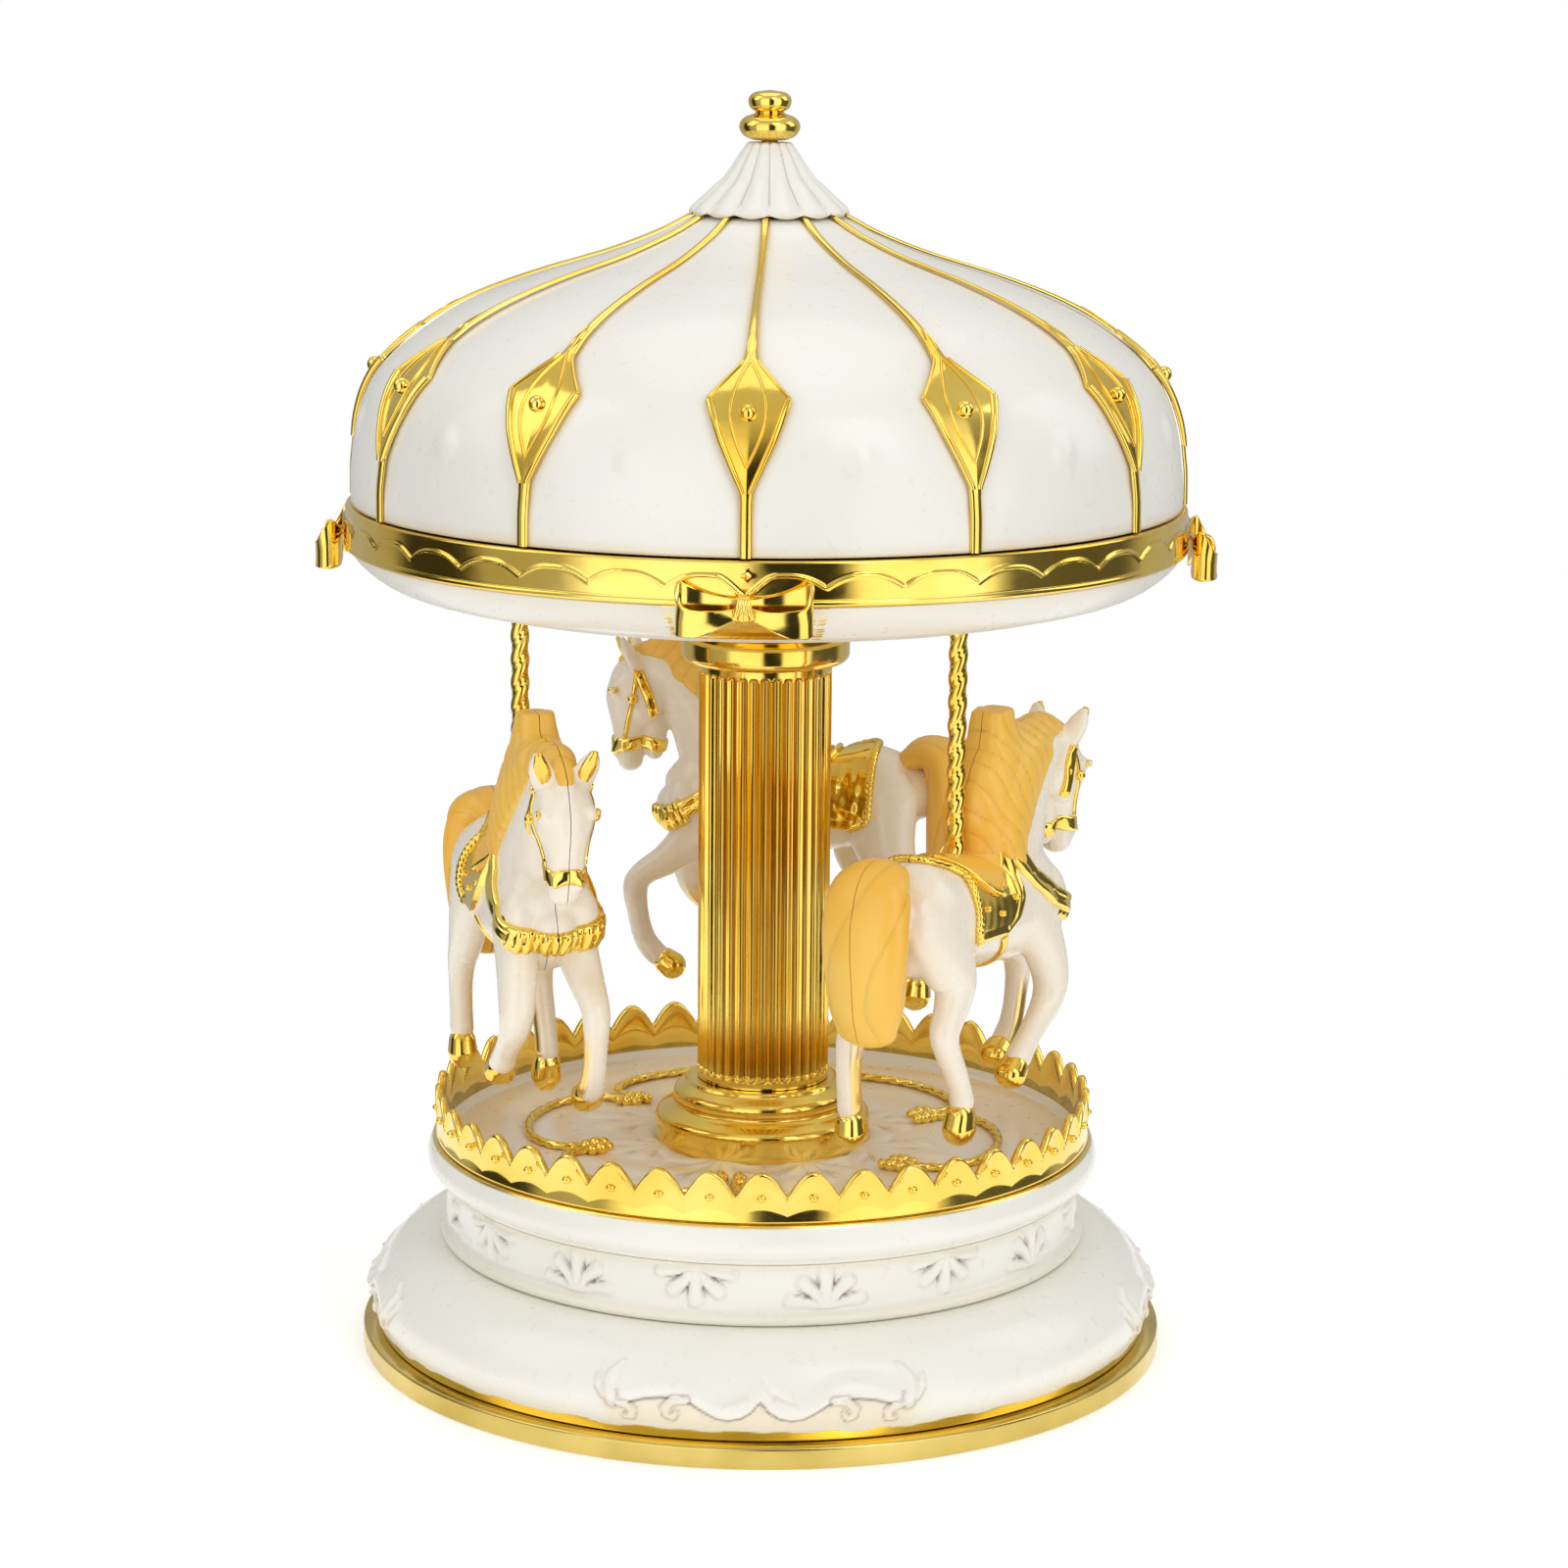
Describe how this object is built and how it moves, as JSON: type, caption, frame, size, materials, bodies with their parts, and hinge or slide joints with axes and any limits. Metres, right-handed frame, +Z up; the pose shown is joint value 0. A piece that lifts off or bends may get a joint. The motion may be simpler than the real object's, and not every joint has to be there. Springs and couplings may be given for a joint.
{
  "type": "carousel music box",
  "caption": "Wind-up carousel music box: domed canopy and prancing horses on twisted poles turning over a round base with a fluted column.",
  "frame": {"origin": "middle of the foot ring's underside, on the column's axis, where the box rests on a table", "axes": "+Z up along the column, -Y towards the front of the pictured view, +X to its right"},
  "size_m": [0.1424, 0.1424, 0.2012],
  "materials": {
    "gold_plating": "bright gold plating on moulded plastic, mirror smooth, warmer in the hollows",
    "ivory_enamel": "satin pearl ivory spray over the plating, soft sheen",
    "amber_enamel": "satin amber yellow spray on manes, tails and saddle pads",
    "movement_steel": "plain bright steel",
    "movement_brass": "plain machined brass",
    "movement_casting": "tumbled zinc casting",
    "moulded_plastic": "plain moulded plastic"
  },
  "bodies": {
    "stand": {"foot_ring": "gold_plating", "base_skirt": "ivory_enamel", "neck_band": "ivory_enamel", "platform_deck": "ivory_enamel", "crown_fence": "gold_plating", "bottom_cover": "moulded_plastic", "cover_screw_1": "movement_steel", "cover_screw_2": "movement_steel", "cover_screw_3": "movement_steel", "column_base": "gold_plating", "column_shaft": "gold_plating", "column_capital": "gold_plating", "shaft_bush_lower": "movement_brass", "shaft_bush_upper": "movement_brass", "cam_ring": "moulded_plastic", "movement_bedplate": "movement_casting", "music_comb": "movement_steel", "comb_screw_1": "movement_steel", "comb_screw_2": "movement_steel", "cylinder_bearing_inner": "movement_casting", "cylinder_bearing_outer": "movement_casting", "governor_frame": "movement_casting"},
    "canopy": {"spring_barrel": "movement_brass", "drive_shaft": "movement_steel", "canopy_hub": "moulded_plastic", "canopy_collar": "gold_plating", "canopy_tray": "ivory_enamel", "canopy_band": "gold_plating", "canopy_dome": "ivory_enamel", "canopy_ribs": "gold_plating", "pleated_cap": "ivory_enamel", "finial": "gold_plating", "bow_front": "gold_plating", "bow_right": "gold_plating", "bow_back": "gold_plating", "bow_left": "gold_plating", "pole_bush_left": "movement_brass", "pole_bush_right": "movement_brass", "pole_bush_back": "movement_brass"},
    "key": {"wind_key": "movement_steel"},
    "cylinder": {"music_cylinder": "movement_brass"},
    "governor": {"governor_wheel": "movement_brass"},
    "fly": {"governor_fly": "movement_steel"},
    "horse_left": {"pole_left": "gold_plating", "cam_follower_left": "moulded_plastic", "horse_left_near_half": "ivory_enamel", "horse_left_far_half": "ivory_enamel"},
    "horse_right": {"pole_right": "gold_plating", "cam_follower_right": "moulded_plastic", "horse_right_near_half": "ivory_enamel", "horse_right_far_half": "ivory_enamel"},
    "horse_back": {"pole_back": "gold_plating", "cam_follower_back": "moulded_plastic", "horse_back_near_half": "ivory_enamel", "horse_back_far_half": "ivory_enamel"}
  },
  "joints": [
    {"name": "canopy_turn", "type": "hinge", "parent": "stand", "child": "canopy", "pos_m": [0, 0, 0], "axis": [0, 0, 1], "continuous": true},
    {"name": "key_wind", "type": "hinge", "parent": "stand", "child": "key", "pos_m": [0, 0, 0.003], "axis": [0, 0, 1], "continuous": true},
    {"name": "cylinder_turn", "type": "hinge", "parent": "stand", "child": "cylinder", "pos_m": [0.026, 0, 0.0227], "axis": [1, 0, 0], "continuous": true},
    {"name": "governor_turn", "type": "hinge", "parent": "stand", "child": "governor", "pos_m": [0.03, 0.0096, 0.0227], "axis": [1, 0, 0], "continuous": true},
    {"name": "fly_turn", "type": "hinge", "parent": "stand", "child": "fly", "pos_m": [0.029, 0.01345, 0.02], "axis": [0, 0, 1], "continuous": true},
    {"name": "horse_left_bob", "type": "slide", "parent": "canopy", "child": "horse_left", "axis": [0, 0, 1], "range_m": [-0.00099, 0.00381]},
    {"name": "horse_right_bob", "type": "slide", "parent": "canopy", "child": "horse_right", "axis": [0, 0, 1], "range_m": [-0.00142, 0.00338]},
    {"name": "horse_back_bob", "type": "slide", "parent": "canopy", "child": "horse_back", "axis": [0, 0, 1], "range_m": [-0.0048, 0]}
  ],
  "couplings": [
    {"joint": "cylinder_turn", "follows": "canopy_turn", "ratio": 4},
    {"joint": "governor_turn", "follows": "canopy_turn", "ratio": -8},
    {"joint": "fly_turn", "follows": "canopy_turn", "ratio": 80}
  ]
}
